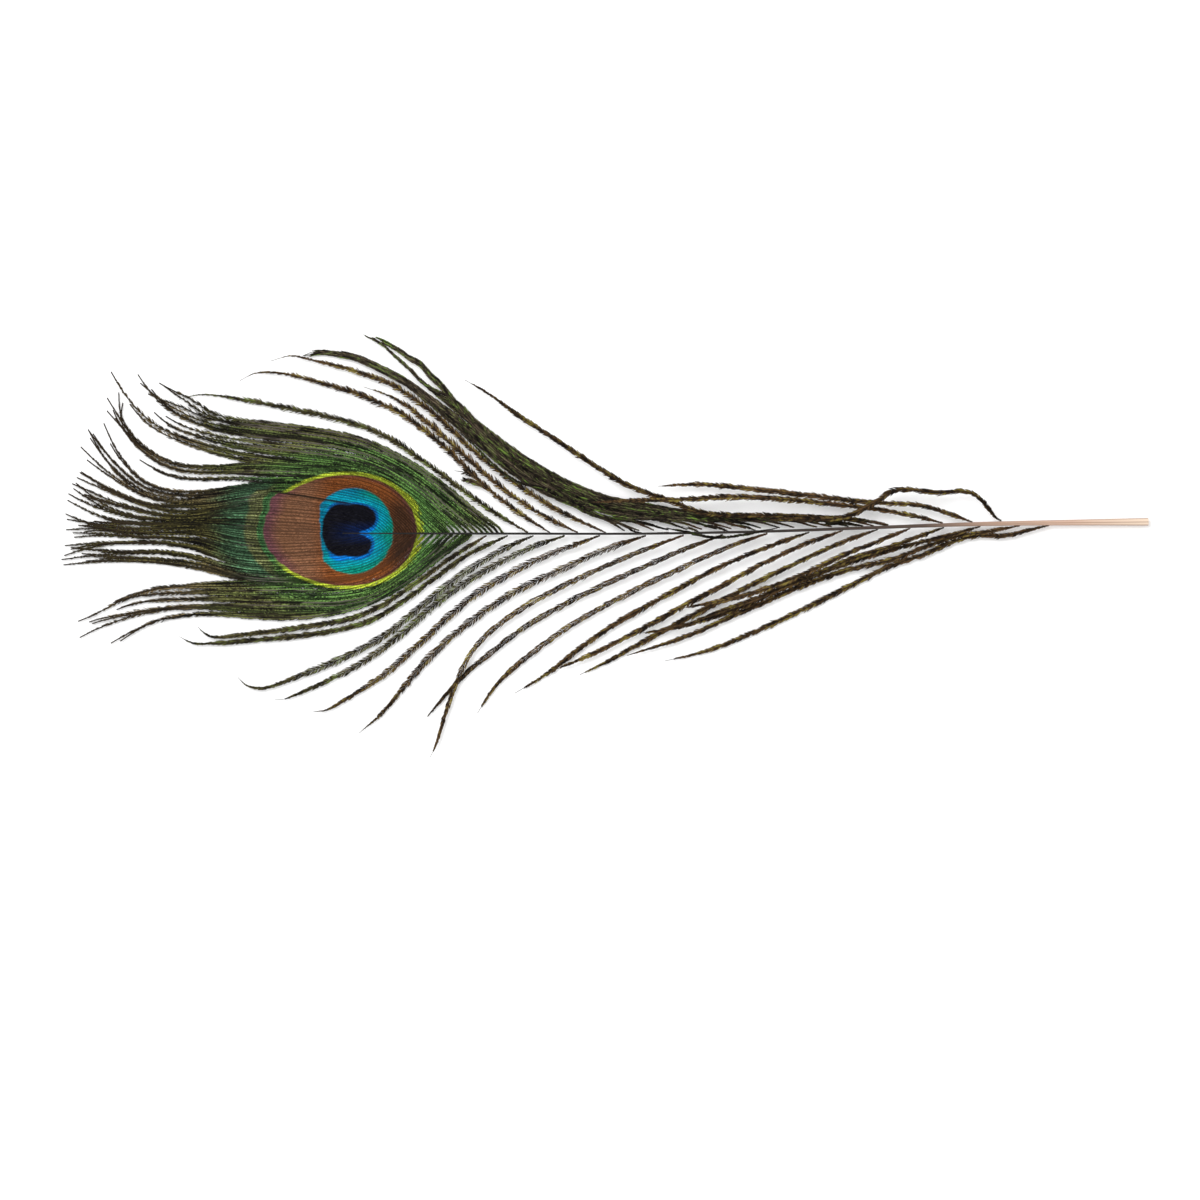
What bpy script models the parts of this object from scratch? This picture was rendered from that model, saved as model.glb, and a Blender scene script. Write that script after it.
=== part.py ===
"""Peacock tail feather: the eyed end of a train feather, cut through its shaft.

The feather lies on a table with its bright side up. +X runs along the shaft towards the cut end,
+Y runs across the feather and +Z is up. The origin is in the middle of the feather, on the table.
Distances are written in millimetres and are turned into metres where the shapes are made.
"""
import bisect

import bpy
from mathutils import Vector

MM = 0.001

# Driving dimensions
PIECE_GAP = 0.36            # air between neighbouring pieces
BARB_WIDTH = 1.4            # a loose barb with its barbules, over its middle
BARB_THICKNESS = 0.36
BARB_SPACING = 4.5          # distance between the stations along a loose barb
FOOT_REACH = 0.5            # from the side of the shaft to the middle of a loose barb's foot
VANE_THICKNESS = 0.32       # the flat vane around the eye
MAT_BOTTOM = 0.4            # the clump of tangled barbs
MAT_TOP = 2.3
QUILL_SIDES = 4             # bevel resolution of the shaft

# Colours, roughness and metallic value of each material
FINISHES = {
    "quill": ((0.56, 0.42, 0.30, 1.0), 0.45, 0.0),
    "barb": ((0.10, 0.085, 0.045, 1.0), 0.6, 0.15),
    "eye": ((0.10, 0.16, 0.05, 1.0), 0.5, 0.25),
}

# The shaft, from the cut end to the eye: x, y, height of its middle, diameter
SHAFT = [
    (130.7, 5.7, 0.9, 1.8),
    (112, 5.5, 1.3, 1.35),
    (90, 5.15, 2.0, 1.0),
    (65, 4.3, 2.8, 0.8),
    (40, 3.4, 3.1, 0.66),
    (10, 2.85, 2.6, 0.56),
    (-20, 2.87, 1.5, 0.54),
    (-42, 2.9, 0.9, 0.46),
    (-62, 2.95, 0.7, 0.28),
]

# Each loose barb, from its foot to its tip: points on the table's plane, and its height above the
# table at 15 %, at 60 % and at the end of its length
UPPER_BARBS = [
    ([(95.5, 5.9), (93.6, 7.2), (90.2, 11.3), (86.4, 13), (80, 12.6), (70.4, 13.3), (65.5, 10.4),
      (58, 6.8), (48, 6.2), (38, 6.4)], (3.4, 5.1, 4.8)),
    ([(88.6, 5.6), (83, 7.6), (76, 9.6), (68, 10.1), (58, 10.9), (48, 12.2), (36, 13.5),
      (24, 14.6), (13.5, 14.2)], (2.6, 2.8, 2.0)),
    ([(81.5, 5.4), (74, 7.2), (65, 8.8), (55, 9.9), (45, 10.9), (32, 11.6), (20, 11),
      (8, 10.8), (-2.5, 10.3)], (2.7, 3.7, 4.4)),
    ([(68.3, 5.0), (58, 6.4), (42, 7.2), (26, 7.6), (16, 10.7), (4, 15.6), (-10, 24.7),
      (-20, 31.2), (-27, 36.3), (-32.7, 39.6)], (3.5, 2.9, 1.4)),
    ([(1, 3.1), (-10, 8.2), (-20, 14.5), (-30, 22.2), (-40, 31.4), (-50, 38.4), (-60, 42),
      (-70, 44.6), (-74.5, 45.4), (-79.2, 44.1)], (2.0, 1.3, 1.0)),
    ([(-5.7, 3.1), (-15, 7.8), (-25, 14.7), (-35, 23.5), (-45, 32.3), (-51, 35.9),
      (-57, 38)], (1.7, 1.0, 0.6)),
    ([(-12.3, 3.1), (-20, 8), (-28, 14.4), (-38, 24), (-47, 31), (-55, 35), (-65, 38.4),
      (-76, 41.1), (-82.5, 41.3), (-86.6, 39.4)], (1.4, 0.8, 0.8)),
    ([(-17.6, 3.1), (-26, 8.2), (-34, 13.8), (-42, 19.8), (-51, 25.8), (-60, 29.4), (-72, 32.3),
      (-84, 34.6), (-93, 36), (-97, 36), (-101, 35)], (1.2, 0.7, 0.7)),
]
LOWER_BARBS = [
    ([(107, 4.9), (101, 3.4), (96, 2.3), (90, 2.4), (84, 0.9), (77, -2.2), (69, -4.9), (60, -9.3),
      (48, -15.4), (36, -20.9), (25, -25.2), (15, -27.6)], (1.1, 0.5, 0.4)),
    ([(100, 4.8), (92, 3.3), (84, 2), (76, -0.8), (70, -3.2), (60, -5.5), (50, -8.8), (40, -13),
      (30, -17.4), (20, -21.8), (6, -26.3)], (1.6, 1.2, 1.1)),
    ([(90.5, 4.6), (85, 3), (78, 1.2), (70, -0.8), (60, -3.8), (50, -7.2), (40, -11.6), (32, -15.2),
      (22, -18.5), (14, -20.3), (7.5, -21.1)], (2.6, 2.2, 2.1)),
    ([(81.8, 4.3), (75, 1.9), (68, -0.6), (60, -3), (52, -6.6), (44, -9.7), (36, -13),
      (26.5, -16.4), (20, -18.6)], (3.3, 2.9, 2.9)),
    ([(73.7, 4.1), (66, 1), (58, -2.2), (50, -6), (42, -9.4), (33, -12.2), (26, -13.7),
      (19.5, -14.9)], (3.9, 3.7, 2.7)),
    ([(66, 3.9), (58, 1), (50, -2.5), (40, -7.3), (30, -12.4), (20, -17.6), (10, -23),
      (2, -27.4), (-5.3, -30.9)], (2.1, 0.7, 0.4)),
    ([(57.6, 3.6), (48, 0.1), (38, -4.6), (28, -10), (18, -15.3), (8, -20.8), (-2, -25.8),
      (-12.5, -30.2)], (2.4, 1.4, 1.5)),
    ([(49.6, 3.2), (40, -0.2), (28, -5.2), (16, -11.6), (4, -18.3), (-5, -24.4), (-13, -30.6),
      (-20.8, -35.3)], (2.2, 1.0, 0.4)),
    ([(39.6, 2.9), (30, -0.4), (18, -5.8), (6, -11.6), (-6, -18.2), (-16, -25.2), (-23, -31),
      (-26.6, -35.2), (-29.7, -40)], (2.1, 1.0, 0.4)),
    ([(29, 2.6), (18, -1.6), (6, -6.9), (-6, -12.5), (-18, -19.2), (-27, -26), (-34, -32),
      (-41.8, -41)], (2.0, 0.9, 0.4)),
    ([(19.6, 2.5), (8, -1.9), (-4, -7.1), (-16, -13.2), (-26, -20), (-32, -26.8), (-35.4, -34.5),
      (-37.6, -41), (-39.4, -47), (-41, -50.6)], (1.9, 1.4, 1.2)),
    ([(10.6, 2.4), (0, -1.3), (-12, -6.7), (-22, -11.7), (-32, -18.6), (-41, -26.5), (-47, -33.4),
      (-52.5, -40), (-58, -44.8)], (1.6, 0.8, 0.4)),
    ([(-0.4, 2.4), (-12, -1.9), (-22, -6.7), (-32, -13), (-42, -22), (-52, -30.8), (-61, -36.6),
      (-65.5, -39.2), (-69, -39.7)], (1.4, 0.8, 0.6)),
    ([(-8.8, 2.4), (-18, -0.9), (-28, -6), (-38, -12.6), (-48, -21.2), (-58, -28.4), (-68, -33.4),
      (-75.5, -36.6), (-78.2, -36.7)], (1.2, 0.7, 0.6)),
    ([(-16.3, 2.4), (-24, -1.1), (-34, -7.3), (-44, -15.2), (-52, -21.6), (-62, -26.9),
      (-74, -31.8), (-80.5, -34), (-84.6, -33.6), (-87, -31.5)], (1.1, 0.7, 0.8)),
    ([(-22.4, 2.4), (-32, -2.2), (-41, -8.6), (-50, -15), (-58, -18.9), (-70, -21.3), (-84, -22.7),
      (-95.5, -23.5), (-98.6, -23), (-101, -21.7)], (0.9, 0.6, 0.8)),
    ([(-27.5, 2.4), (-36, -2.9), (-44, -8.6), (-52, -13.9), (-60, -17.4), (-72, -19.6),
      (-84, -21.1), (-91.5, -21.9), (-94.6, -21.2), (-96.6, -19.4)], (0.8, 0.6, 0.8)),
]

# The vane around the eye is parted into locks of barbs. Each lock is the space between two edges
# that start at the shaft; where two locks lie side by side they share the first part of an edge.
EDGE_TOP = [(-23.5, 3.6), (-30, 8.2), (-36, 13.1), (-42, 17.6), (-48, 21.3), (-55, 24.6),
            (-62, 26.7), (-70, 28), (-80, 29.4), (-88, 30.4), (-94, 32), (-99, 34.6), (-106, 36.5)]
PARTING_1 = [(-36.5, 3.4), (-41, 7.4), (-46, 11.9), (-52, 15.7), (-58, 17.8), (-64, 18.7),
             (-72, 19.2), (-80, 19.8)]
PARTING_2 = [(-42.5, 3.4), (-47, 7.8), (-52, 11.7), (-58, 13.9), (-66, 14.9), (-74, 15.2),
             (-81, 15)]
PARTING_3 = [(-47.5, 3.4), (-51, 6.8), (-55, 9.1), (-60, 10), (-67, 11.2), (-75, 12.4), (-82, 12.2),
             (-90, 10.9), (-98, 10), (-103, 9.9)]
SHAFT_LINE = [(-48.5, 3), (-56, 3), (-64, 3), (-75, 3.3), (-85, 3.7), (-95, 4.8), (-103, 4.7)]
PARTING_4 = [(-43.5, 2.4), (-48, -1.8), (-54, -6.3), (-61, -8.5), (-69, -8.8), (-77, -8.6)]
EDGE_BOTTOM = [(-31, 2.4), (-37, -1.6), (-44, -6.9), (-52, -12), (-60, -15.2), (-70, -17),
               (-80, -17.3), (-90, -16.9), (-100, -17.2), (-107, -18.3), (-113, -20.5),
               (-120.3, -23.5)]
LOCKS = {
    "vane_lock_1": (
        EDGE_TOP,
        [(-104, 33.4), (-110.5, 37.8), (-110, 33.6), (-117.2, 43.5), (-114.2, 34.2), (-119.9, 40)],
        PARTING_1 + [(-86, 20.6), (-92, 21.9), (-100, 24.4), (-108, 27.7), (-114.5, 32)]),
    "vane_lock_2": (
        PARTING_1 + [(-86, 19.5), (-92, 19.1), (-98, 19.2), (-104, 20.4), (-111, 23.9),
                     (-116, 28.6), (-116.4, 35)],
        [(-117.2, 28.8), (-122.4, 32), (-114.5, 24.4), (-119.6, 27.2)],
        PARTING_2 + [(-86, 15.6), (-92, 15.7), (-98, 15.5), (-104, 16.5), (-110, 19.2)]),
    "vane_lock_3": (
        PARTING_2 + [(-86, 14.3), (-92, 13.5), (-98, 13.1), (-104, 13.6), (-110, 15.8), (-117, 21.8),
                     (-123.4, 29)],
        [(-118, 20.4), (-126.5, 24.8), (-119, 19.2), (-127, 20)],
        PARTING_3 + [(-108, 11), (-112, 12.7), (-119, 17)]),
    "vane_lock_4": (
        PARTING_3 + [(-108, 10), (-112, 11.2), (-120, 14), (-127.2, 17)],
        [(-120, 12.8), (-127.8, 12.6), (-119, 10.4), (-128, 8.4), (-118, 7), (-128.4, 5.4)],
        SHAFT_LINE + [(-112, 4.8), (-120, 5)]),
    "vane_lock_5": (
        SHAFT_LINE + [(-112, 4.2), (-120, 4), (-129, 3.2)],
        [(-120, 2.4), (-129.9, 1), (-119, 0.4), (-130, -1.2), (-118, -1.4), (-129.5, -2.8),
         (-119, -2.6), (-130.7, -4.2)],
        PARTING_4 + [(-84, -8.2), (-92, -6.7), (-100, -5), (-108, -3.9), (-120, -3.8)]),
    "vane_lock_6": (
        PARTING_4 + [(-84, -8.7), (-92, -8.9), (-100, -8.8), (-107, -9.4), (-115, -11.7),
                     (-122, -13.7), (-128, -14.4)],
        [(-119, -14.6), (-127, -17.8), (-115, -15.4), (-125, -20.6), (-112, -17)],
        EDGE_BOTTOM),
}

# The clump of barbs that cling together above the shaft, round its outline: the inner edge from
# its foot to the tips, the three tips, and the outer edge back to the foot
MAT_INNER = [(69, 5.2), (60, 5), (45, 4.6), (30, 4.5), (20, 4.4), (10, 4.4), (5, 5), (0, 6),
             (-5, 8.2), (-10, 10.3), (-15, 12.7), (-20, 15.6), (-25, 19.8), (-30, 24.4),
             (-35, 29), (-40, 34.3), (-45, 38.4), (-50, 41.2), (-56, 43.5), (-62, 45.6),
             (-71.5, 45.9)]
MAT_TIPS = [(-67, 47), (-60, 46.2), (-55, 44.6), (-49, 42.9), (-44.5, 41.6), (-43.3, 43.4),
            (-48, 46), (-56, 50.2), (-57, 50.6), (-50, 48.3), (-44, 44.9), (-40, 41.4)]
MAT_OUTER = [(-36, 36.6), (-30, 30.3), (-25, 26.4), (-20, 22.8), (-15, 19.6), (-10, 16.6),
             (-5, 14.3), (0, 12.5), (5, 11.4), (10, 10.5), (15, 9.8), (20, 8.6), (30, 7.5),
             (45, 6.7), (60, 6.4)]


def clear_scene():
    for item in list(bpy.data.objects):
        bpy.data.objects.remove(item, do_unlink=True)


def new_collection(name):
    collection = bpy.data.collections.new(name)
    bpy.context.scene.collection.children.link(collection)
    return collection


def finish_material(name):
    colour, roughness, metallic = FINISHES[name]
    material = bpy.data.materials.new(name)
    material.use_nodes = True
    shader = material.node_tree.nodes["Principled BSDF"]
    shader.inputs["Base Color"].default_value = colour
    shader.inputs["Roughness"].default_value = roughness
    shader.inputs["Metallic"].default_value = metallic
    material.diffuse_color = colour
    return material


def smooth_curve(points, steps=12):
    """A closely spaced curve that passes evenly through the points (Catmull-Rom)."""
    points = [Vector(point) for point in points]
    ends = [2 * points[0] - points[1]] + points + [2 * points[-1] - points[-2]]
    curve = []
    for before, start, end, after in zip(ends, ends[1:], ends[2:], ends[3:]):
        for step in range(steps):
            t = step / steps
            curve.append(0.5 * (2 * start + (end - before) * t
                                + (2 * before - 5 * start + 4 * end - after) * t ** 2
                                + (3 * start - before - 3 * end + after) * t ** 3))
    return curve + [points[-1]]


def resample(curve, spacing):
    """Points at an even spacing along a curve, and each one's share of the whole length."""
    lengths = [0.0]
    for start, end in zip(curve, curve[1:]):
        lengths.append(lengths[-1] + (end - start).length)
    count = max(3, round(lengths[-1] / spacing))
    stations = []
    for index in range(count + 1):
        distance = lengths[-1] * index / count
        after = min(max(bisect.bisect_left(lengths, distance), 1), len(curve) - 1)
        share = (distance - lengths[after - 1]) / (lengths[after] - lengths[after - 1])
        stations.append((curve[after - 1].lerp(curve[after], share), index / count))
    return stations


def blend_values(keys, at):
    """A smooth value between (place, value) keys."""
    for (start, low), (end, high) in zip(keys, keys[1:]):
        if at <= end:
            t = (at - start) / (end - start)
            return low + (high - low) * t * t * (3 - 2 * t)
    return keys[-1][1]


def shaft_at(x, value):
    """One of the shaft's values at a place along it: 1 is its y, 2 its height, 3 its diameter."""
    keys = [(-station[0], station[value]) for station in SHAFT]
    return blend_values(keys, -x)


def beside_shaft(point):
    """Whether a point is far enough from the shaft for the foot of a barb."""
    return abs(point.y - shaft_at(point.x, 1)) > shaft_at(point.x, 3) / 2 + FOOT_REACH


def barb_profile(collection):
    """The flattened section of a loose barb: flat above and below, thin at its edges."""
    half_width = BARB_WIDTH / 2
    half_height = BARB_THICKNESS / 2
    section = [(-half_width, 0), (-half_width / 2, half_height), (half_width / 2, half_height),
               (half_width, 0), (half_width / 2, -half_height), (-half_width / 2, -half_height)]
    data = bpy.data.curves.new("barb_section", "CURVE")
    data.dimensions = "2D"
    data.fill_mode = "NONE"
    spline = data.splines.new("POLY")
    spline.points.add(len(section) - 1)
    for point, (x, y) in zip(spline.points, section):
        point.co = (x * MM, y * MM, 0, 1)
    spline.use_cyclic_u = True
    guide = bpy.data.objects.new("barb_section", data)
    guide.hide_render = True
    guide.display_type = "WIRE"
    collection.objects.link(guide)
    return guide


def add_rod(name, stations, radii, section, material, collection):
    """A rod along the stations; it is round unless it has a section of its own."""
    data = bpy.data.curves.new(name, "CURVE")
    data.dimensions = "3D"
    data.twist_mode = "Z_UP"
    data.use_fill_caps = True
    if section is None:
        data.bevel_depth = MM
        data.bevel_resolution = QUILL_SIDES
    else:
        data.bevel_mode = "OBJECT"
        data.bevel_object = section
    spline = data.splines.new("POLY")
    spline.points.add(len(stations) - 1)
    for point, station, radius in zip(spline.points, stations, radii):
        point.co = (*(Vector(station) * MM), 1)
        point.radius = radius
    data.materials.append(material)
    rod = bpy.data.objects.new(name, data)
    collection.objects.link(rod)
    return rod


def add_shaft(material, collection):
    route = smooth_curve(SHAFT, 3)
    stations = [place[:3] for place in route]
    radii = [place[3] / 2 for place in route]
    return add_rod("shaft", stations, radii, None, material, collection)


def add_loose_barb(name, route, heights, section, material, collection):
    """One barb: it leaves the shaft at the shaft's height and settles towards the table."""
    path = [point for point in smooth_curve(route) if beside_shaft(point)]
    curve = resample(path, BARB_SPACING)
    keys = list(zip((0, 0.15, 0.6, 1), (shaft_at(route[0][0], 2), *heights)))
    stations = [(place.x, place.y, blend_values(keys, share)) for place, share in curve]
    width_keys = [(0, 0.25), (0.1, 1.0), (0.7, 0.95), (0.88, 0.55), (1, 0.2)]
    radii = [blend_values(width_keys, share) for _, share in curve]
    return add_rod(name, stations, radii, section, material, collection)


def inset(path, distance):
    """The path moved sideways, to its left where the distance is positive."""
    moved = []
    for index, point in enumerate(path):
        along = path[min(index + 1, len(path) - 1)] - path[max(index - 1, 0)]
        along.normalize()
        moved.append(point + Vector((-along.y, along.x)) * distance)
    return moved


def add_plate(name, outline, bottom, top, material, collection):
    """A flat sheet with the outline, between two heights above the table."""
    data = bpy.data.curves.new(name, "CURVE")
    data.dimensions = "2D"
    data.fill_mode = "BOTH"
    data.extrude = (top - bottom) / 2 * MM
    spline = data.splines.new("POLY")
    spline.points.add(len(outline) - 1)
    for point, place in zip(spline.points, outline):
        point.co = (place[0] * MM, place[1] * MM, 0, 1)
    spline.use_cyclic_u = True
    data.materials.append(material)
    plate = bpy.data.objects.new(name, data)
    plate.location.z = (bottom + top) / 2 * MM
    collection.objects.link(plate)
    return plate


def add_lock(name, upper_edge, tips, lower_edge, material, collection):
    """One lock of the vane, from the shaft to its tips, kept clear of the locks beside it."""
    upper = inset(smooth_curve(upper_edge, 3), PIECE_GAP / 2)
    lower = inset(smooth_curve(lower_edge, 3), -PIECE_GAP / 2)
    outline = upper + [Vector(tip) for tip in tips] + lower[::-1]
    return add_plate(name, outline, 0, VANE_THICKNESS, material, collection)


def add_mat(material, collection):
    tips = [Vector(tip) for tip in MAT_TIPS]
    outline = smooth_curve(MAT_INNER, 2) + tips + smooth_curve(MAT_OUTER, 2)
    return add_plate("matted_barbs", outline, MAT_BOTTOM, MAT_TOP, material, collection)


def main():
    clear_scene()
    feather = new_collection("peacock_feather")
    guides = new_collection("guides")
    materials = {name: finish_material(name) for name in FINISHES}
    section = barb_profile(guides)
    add_shaft(materials["quill"], feather)
    for side, barbs in (("upper", UPPER_BARBS), ("lower", LOWER_BARBS)):
        for index, (route, heights) in enumerate(barbs, 1):
            name = f"barb_{side}_{index:02d}"
            add_loose_barb(name, route, heights, section, materials["barb"], feather)
    add_mat(materials["barb"], feather)
    for name, (upper_edge, tips, lower_edge) in LOCKS.items():
        add_lock(name, upper_edge, tips, lower_edge, materials["eye"], feather)


main()
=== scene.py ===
# %% [markdown]
# # A peacock feather in Blender
# The eyed end of a train feather: a slender shaft, loose barbs on both sides, a clump of barbs
# that cling together, and the vane around the eye. Every barb is a thin stalk with two rows of
# barbules, which hold the colour. So the lesson models one barbule, rows it up into a barb, and
# lays that barb along each route of the feather.

# %% Load the fixed frame
import math

import bpy
import numpy as np
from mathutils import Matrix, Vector


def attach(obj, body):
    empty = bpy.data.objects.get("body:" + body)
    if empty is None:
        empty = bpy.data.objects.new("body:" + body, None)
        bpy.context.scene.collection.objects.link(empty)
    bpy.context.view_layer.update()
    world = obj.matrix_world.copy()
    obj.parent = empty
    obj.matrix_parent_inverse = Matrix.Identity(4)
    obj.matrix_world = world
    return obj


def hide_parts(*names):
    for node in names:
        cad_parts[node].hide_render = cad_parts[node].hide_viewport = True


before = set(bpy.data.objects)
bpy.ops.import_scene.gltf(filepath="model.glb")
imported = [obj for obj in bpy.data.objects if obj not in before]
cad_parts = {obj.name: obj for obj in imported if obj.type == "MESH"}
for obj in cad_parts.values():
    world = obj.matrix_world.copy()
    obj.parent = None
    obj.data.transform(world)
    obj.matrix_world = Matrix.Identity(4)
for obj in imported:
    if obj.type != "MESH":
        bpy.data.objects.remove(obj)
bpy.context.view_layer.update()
MM = 0.001


# %% [markdown]
# ## Setting
# The feather lies on a white table and is seen straight from above. A long lens far above keeps
# the view almost without perspective. Soft light comes from a white room and one large lamp.

# %% Camera, light and floor
CAMERA_HEIGHT = 1.5
VIEW_WIDTH = 0.2871
VIEW_CENTRE = (-0.0004, -0.013)
SENSOR = 36.0
ROOM_LIGHT = 0.88
LAMP_PLACE = (-0.35, 0.45, 0.9)
LAMP_SIZE = 0.6
LAMP_WATTS = 6
TABLE_SIZE = 3
TABLE_DROP = 0.0002     # the table lies just below the feather

scene = bpy.context.scene
scene.view_settings.view_transform = "Standard"

bpy.ops.object.camera_add(location=(*VIEW_CENTRE, CAMERA_HEIGHT), rotation=(0, 0, 0))
camera = bpy.context.object
camera.data.sensor_width = SENSOR
camera.data.lens = SENSOR * CAMERA_HEIGHT / VIEW_WIDTH
camera.data.clip_end = 20
scene.camera = camera

world = bpy.data.worlds.new("white_room")
world.use_nodes = True
room = world.node_tree.nodes["Background"].inputs
room["Color"].default_value = (1, 1, 1, 1)
room["Strength"].default_value = ROOM_LIGHT
scene.world = world

bpy.ops.object.light_add(type="AREA", location=LAMP_PLACE)
lamp = bpy.context.object
lamp.data.shape = "DISK"
lamp.data.size = LAMP_SIZE
lamp.data.energy = LAMP_WATTS
lamp.rotation_euler = (Vector((0, 0, 0)) - lamp.location).to_track_quat("-Z", "Y").to_euler()

bpy.ops.mesh.primitive_plane_add(size=TABLE_SIZE, location=(0, 0, -TABLE_DROP))
floor = bpy.context.object
floor.name = "table"
bpy.ops.object.transform_apply()
print("camera lens", round(camera.data.lens, 1), "mm")

# %% [markdown]
# ## Shader arithmetic
# A pattern is easier to read as a formula than as a web of nodes. `Wire` wraps a socket, so that
# `1 - mask` adds the Math node by itself, and `Finish.node` adds any other node.

# %% Sockets with operators


def operator(operation, reflected=False):
    """The method that adds a Math node for an operator, or for its reflected form."""
    def apply(wire, other):
        values = (other, wire) if reflected else (wire, other)
        return wire.finish.math(operation, *values)
    return apply


class Wire:
    """An output socket that takes part in Python arithmetic."""

    def __init__(self, finish, socket):
        self.finish = finish
        self.socket = socket

    __add__, __radd__ = operator("ADD"), operator("ADD", reflected=True)
    __sub__, __rsub__ = operator("SUBTRACT"), operator("SUBTRACT", reflected=True)
    __mul__, __rmul__ = operator("MULTIPLY"), operator("MULTIPLY", reflected=True)
    __truediv__, __rtruediv__ = operator("DIVIDE"), operator("DIVIDE", reflected=True)

    def __abs__(self):
        return self.finish.math("ABSOLUTE", self)


class Finish:
    """A material with one Principled shader, and short ways to add nodes to it."""

    def __init__(self, name, **constants):
        self.material = bpy.data.materials.new(name)
        self.material.use_nodes = True
        self.nodes = self.material.node_tree.nodes
        self.links = self.material.node_tree.links
        self.shader = self.nodes["Principled BSDF"]
        self.drive(**constants)

    def node(self, kind, inputs=None, output=0, **settings):
        added = self.nodes.new(kind)
        for key, value in settings.items():
            if key == "stops":
                ramp = added.color_ramp
                while len(ramp.elements) < len(value):
                    ramp.elements.new(1.0)
                for element, (place, colour) in zip(ramp.elements, value):
                    element.position = place
                    element.color = (*colour, 1)
            else:
                setattr(added, key, value)
        for key, value in (inputs or {}).items():
            self.feed(added.inputs[key], value)
        return Wire(self, added.outputs[output])

    def drive(self, **values):
        """Gives the shader's sockets their values, by name."""
        for name, value in values.items():
            self.feed(self.shader.inputs[name.replace("_", " ")], value)

    def feed(self, socket, value):
        if isinstance(value, Wire):
            self.links.new(value.socket, socket)
        elif isinstance(value, tuple) and len(value) == 3 and socket.type == "RGBA":
            socket.default_value = (*value, 1)
        else:
            socket.default_value = value

    def math(self, operation, *values):
        return self.node("ShaderNodeMath", dict(enumerate(values)), operation=operation)

    def attribute(self, name):
        return self.node("ShaderNodeAttribute", output="Fac", attribute_name=name)

    def step(self, value, low, high):
        """0 below low, 1 above high, and smooth between; low may be the larger."""
        inputs = {"Value": value, "From Min": low, "From Max": high}
        return self.node("ShaderNodeMapRange", inputs, interpolation_type="SMOOTHSTEP")

    def mix(self, share, first, second):
        inputs = {0: share, 6: first, 7: second}
        return self.node("ShaderNodeMix", inputs, output=2, data_type="RGBA")

    def shade_colour(self, colour, factor):
        """A colour made darker or lighter by a number."""
        inputs = {0: colour, "Scale": factor}
        return self.node("ShaderNodeVectorMath", inputs, operation="SCALE")

    def noise(self, x, y, z, detail=2.0):
        place = self.node("ShaderNodeCombineXYZ", {0: x, 1: y, 2: z})
        inputs = {"Vector": place, "Scale": 1.0, "Detail": detail}
        return self.node("ShaderNodeTexNoise", inputs)

    def random(self, number):
        """A random number from 0 to 1 that belongs to a number."""
        return self.node("ShaderNodeTexWhiteNoise", {"W": number}, noise_dimensions="1D")


def add_finish(piece, finish):
    piece.data.materials.clear()
    piece.data.materials.append(finish.material)


GRAIN_SCALE = 40
paper = Finish("white_table", Roughness=0.9, Emission_Color=(1, 1, 1, 1), Emission_Strength=0.1)
table_place = paper.node("ShaderNodeTexCoord", output="Object")
grain = paper.node("ShaderNodeTexNoise", {"Vector": table_place, "Scale": GRAIN_SCALE})
paper.drive(Base_Color=paper.mix(grain, (0.93, 0.93, 0.93), (0.95, 0.95, 0.95)))
add_finish(floor, paper)
print("wired", floor.name)

# %% [markdown]
# ## Routes
# The shaft and each barb follow a few points on the table, in millimetres, and a height above
# it. A Catmull-Rom curve runs smoothly through the points.

# %% Curves through points


def smooth_curve(points, steps=12):
    """A closely spaced curve that passes evenly through the points."""
    points = [np.array(point, float) for point in points]
    ends = [2 * points[0] - points[1]] + points + [2 * points[-1] - points[-2]]
    curve = []
    for before, start, end, after in zip(ends, ends[1:], ends[2:], ends[3:]):
        for step in range(steps):
            t = step / steps
            curve.append(0.5 * (2 * start + (end - before) * t
                                + (2 * before - 5 * start + 4 * end - after) * t ** 2
                                + (3 * start - before - 3 * end + after) * t ** 3))
    return np.array(curve + [points[-1]])


def resample(curve, count):
    """The curve as an even number of stations."""
    lengths = np.concatenate([[0], np.cumsum(np.linalg.norm(np.diff(curve, axis=0), axis=1))])
    places = np.linspace(0, lengths[-1], count)
    return np.stack([np.interp(places, lengths, column) for column in curve.T], axis=1)


def ease(shares, keys):
    """Smooth values between (place, value) keys."""
    places, values = zip(*keys)
    shares = np.clip(shares, places[0], places[-1])
    index = np.clip(np.searchsorted(places, shares, side="right") - 1, 0, len(keys) - 2)
    places, values = np.array(places, float), np.array(values, float)
    t = (shares - places[index]) / (places[index + 1] - places[index])
    return values[index] + (values[index + 1] - values[index]) * t * t * (3 - 2 * t)


# The shaft, from the cut end to the eye: x, y, height of its middle, diameter
SHAFT = [
    (130.7, 5.7, 0.9, 1.8), (112, 5.5, 1.3, 1.35), (90, 5.15, 2.0, 1.0), (65, 4.3, 2.8, 0.8),
    (40, 3.4, 3.1, 0.66), (10, 2.85, 2.6, 0.56), (-20, 2.87, 1.5, 0.54), (-42, 2.9, 0.9, 0.46),
    (-62, 2.95, 0.7, 0.28)]


def shaft_at(x, value):
    """A value of the shaft at a place along it: 1 is its y, 2 its height, 3 its diameter."""
    return float(ease(-x, [(-station[0], station[value]) for station in SHAFT]))


print("shaft is", round(shaft_at(0, 3), 2), "mm across in the middle")

# %% [markdown]
# ## One barbule, one row
# A barbule is a hair that leaves the stalk at a slant, towards the barb's tip. A three-sided cone
# is the cheapest closed spike. Its long edges are cut once, so that it can bend, and it is laid
# down and flattened. A short row of barbules on both sides is the unit that an Array repeats.

# %% Model the barbule and the row
ROW_LENGTH = 2.4
ROW_COUNT = 11


def switch(mode):
    bpy.ops.object.mode_set(mode=mode)


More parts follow.
